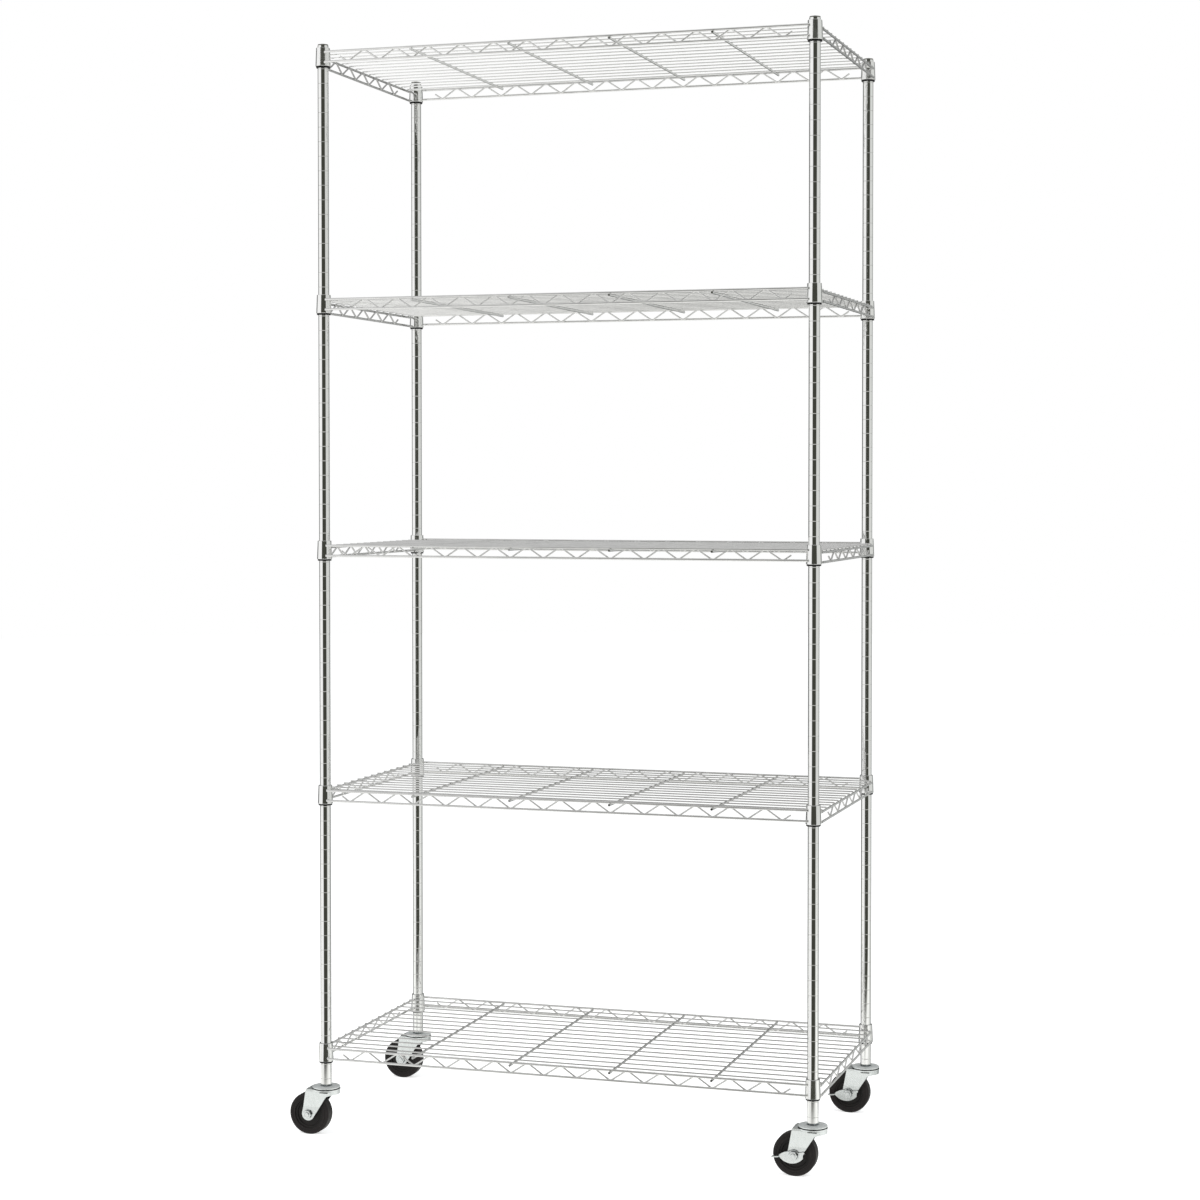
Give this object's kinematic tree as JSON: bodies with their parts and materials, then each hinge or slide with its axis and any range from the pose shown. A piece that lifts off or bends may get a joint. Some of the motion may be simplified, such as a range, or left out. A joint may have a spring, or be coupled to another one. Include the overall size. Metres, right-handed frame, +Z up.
{
  "type": "wire shelving rack",
  "caption": "Free-standing chrome wire shelving rack: welded wire shelves wedged by tapered collars on grooved round posts, rolling on swivel casters, some with foot brakes.",
  "frame": {"origin": "on the floor, midway between the axes of the four posts", "axes": "+Z up along the posts, +X along the shelves' width to the right as seen from the front, +Y to the back; the casters trail to -X"},
  "size_m": [0.973, 0.4802, 1.9229],
  "materials": {
    "chrome": "bright chrome plate",
    "wire_chrome": "bright chrome plate on wire",
    "zinc_steel": "bright zinc plate",
    "sleeve_plastic": "moulded",
    "cap_plastic": "moulded",
    "hub_plastic": "moulded",
    "tyre_rubber": "satin"
  },
  "bodies": {
    "rack": {"post_front_left": "chrome", "post_front_right": "chrome", "post_back_left": "chrome", "post_back_right": "chrome", "post_caps": "cap_plastic", "post_inserts": "zinc_steel", "bottom_shelf_deck": "wire_chrome", "bottom_shelf_long_rails": "wire_chrome", "bottom_shelf_end_rails": "wire_chrome", "bottom_shelf_collars": "chrome", "bottom_shelf_sleeves": "sleeve_plastic", "lower_shelf_deck": "wire_chrome", "lower_shelf_long_rails": "wire_chrome", "lower_shelf_end_rails": "wire_chrome", "lower_shelf_collars": "chrome", "lower_shelf_sleeves": "sleeve_plastic", "middle_shelf_deck": "wire_chrome", "middle_shelf_long_rails": "wire_chrome", "middle_shelf_end_rails": "wire_chrome", "middle_shelf_collars": "chrome", "middle_shelf_sleeves": "sleeve_plastic", "upper_shelf_deck": "wire_chrome", "upper_shelf_long_rails": "wire_chrome", "upper_shelf_end_rails": "wire_chrome", "upper_shelf_collars": "chrome", "upper_shelf_sleeves": "sleeve_plastic", "top_shelf_deck": "wire_chrome", "top_shelf_long_rails": "wire_chrome", "top_shelf_end_rails": "wire_chrome", "top_shelf_collars": "chrome", "top_shelf_sleeves": "sleeve_plastic", "caster_stems": "zinc_steel", "caster_discs": "zinc_steel", "caster_balls": "zinc_steel"},
    "front_left_swivel": {"front_left_fork": "zinc_steel", "front_left_axle": "zinc_steel"},
    "front_left_wheel": {"front_left_wheel_hub": "hub_plastic", "front_left_tyre": "tyre_rubber"},
    "front_right_swivel": {"front_right_fork": "zinc_steel", "front_right_axle": "zinc_steel"},
    "front_right_wheel": {"front_right_wheel_hub": "hub_plastic", "front_right_tyre": "tyre_rubber"},
    "front_right_brake": {"front_right_brake_lever": "zinc_steel"},
    "back_left_swivel": {"back_left_fork": "zinc_steel", "back_left_axle": "zinc_steel"},
    "back_left_wheel": {"back_left_wheel_hub": "hub_plastic", "back_left_tyre": "tyre_rubber"},
    "back_right_swivel": {"back_right_fork": "zinc_steel", "back_right_axle": "zinc_steel"},
    "back_right_wheel": {"back_right_wheel_hub": "hub_plastic", "back_right_tyre": "tyre_rubber"},
    "back_right_brake": {"back_right_brake_lever": "zinc_steel"}
  },
  "joints": [
    {"name": "front_left_swivel_turn", "type": "hinge", "parent": "rack", "child": "front_left_swivel", "pos_m": [-0.44099, -0.21516, 0.08], "axis": [0, 0, 1], "continuous": true},
    {"name": "front_left_wheel_roll", "type": "hinge", "parent": "front_left_swivel", "child": "front_left_wheel", "pos_m": [-0.46999, -0.21516, 0.037], "axis": [0, 1, 0], "continuous": true},
    {"name": "front_right_swivel_turn", "type": "hinge", "parent": "rack", "child": "front_right_swivel", "pos_m": [0.44099, -0.21516, 0.08], "axis": [0, 0, 1], "continuous": true},
    {"name": "front_right_wheel_roll", "type": "hinge", "parent": "front_right_swivel", "child": "front_right_wheel", "pos_m": [0.41199, -0.21516, 0.037], "axis": [0, 1, 0], "continuous": true},
    {"name": "front_right_brake_tip", "type": "hinge", "parent": "front_right_swivel", "child": "front_right_brake", "pos_m": [0.41199, -0.21516, 0.037], "axis": [0, -1, 0], "range_deg": [0, 15]},
    {"name": "back_left_swivel_turn", "type": "hinge", "parent": "rack", "child": "back_left_swivel", "pos_m": [-0.44099, 0.21516, 0.08], "axis": [0, 0, 1], "continuous": true},
    {"name": "back_left_wheel_roll", "type": "hinge", "parent": "back_left_swivel", "child": "back_left_wheel", "pos_m": [-0.46999, 0.21516, 0.037], "axis": [0, 1, 0], "continuous": true},
    {"name": "back_right_swivel_turn", "type": "hinge", "parent": "rack", "child": "back_right_swivel", "pos_m": [0.44099, 0.21516, 0.08], "axis": [0, 0, 1], "continuous": true},
    {"name": "back_right_wheel_roll", "type": "hinge", "parent": "back_right_swivel", "child": "back_right_wheel", "pos_m": [0.41199, 0.21516, 0.037], "axis": [0, 1, 0], "continuous": true},
    {"name": "back_right_brake_tip", "type": "hinge", "parent": "back_right_swivel", "child": "back_right_brake", "pos_m": [0.41199, 0.21516, 0.037], "axis": [0, -1, 0], "range_deg": [0, 15]}
  ]
}
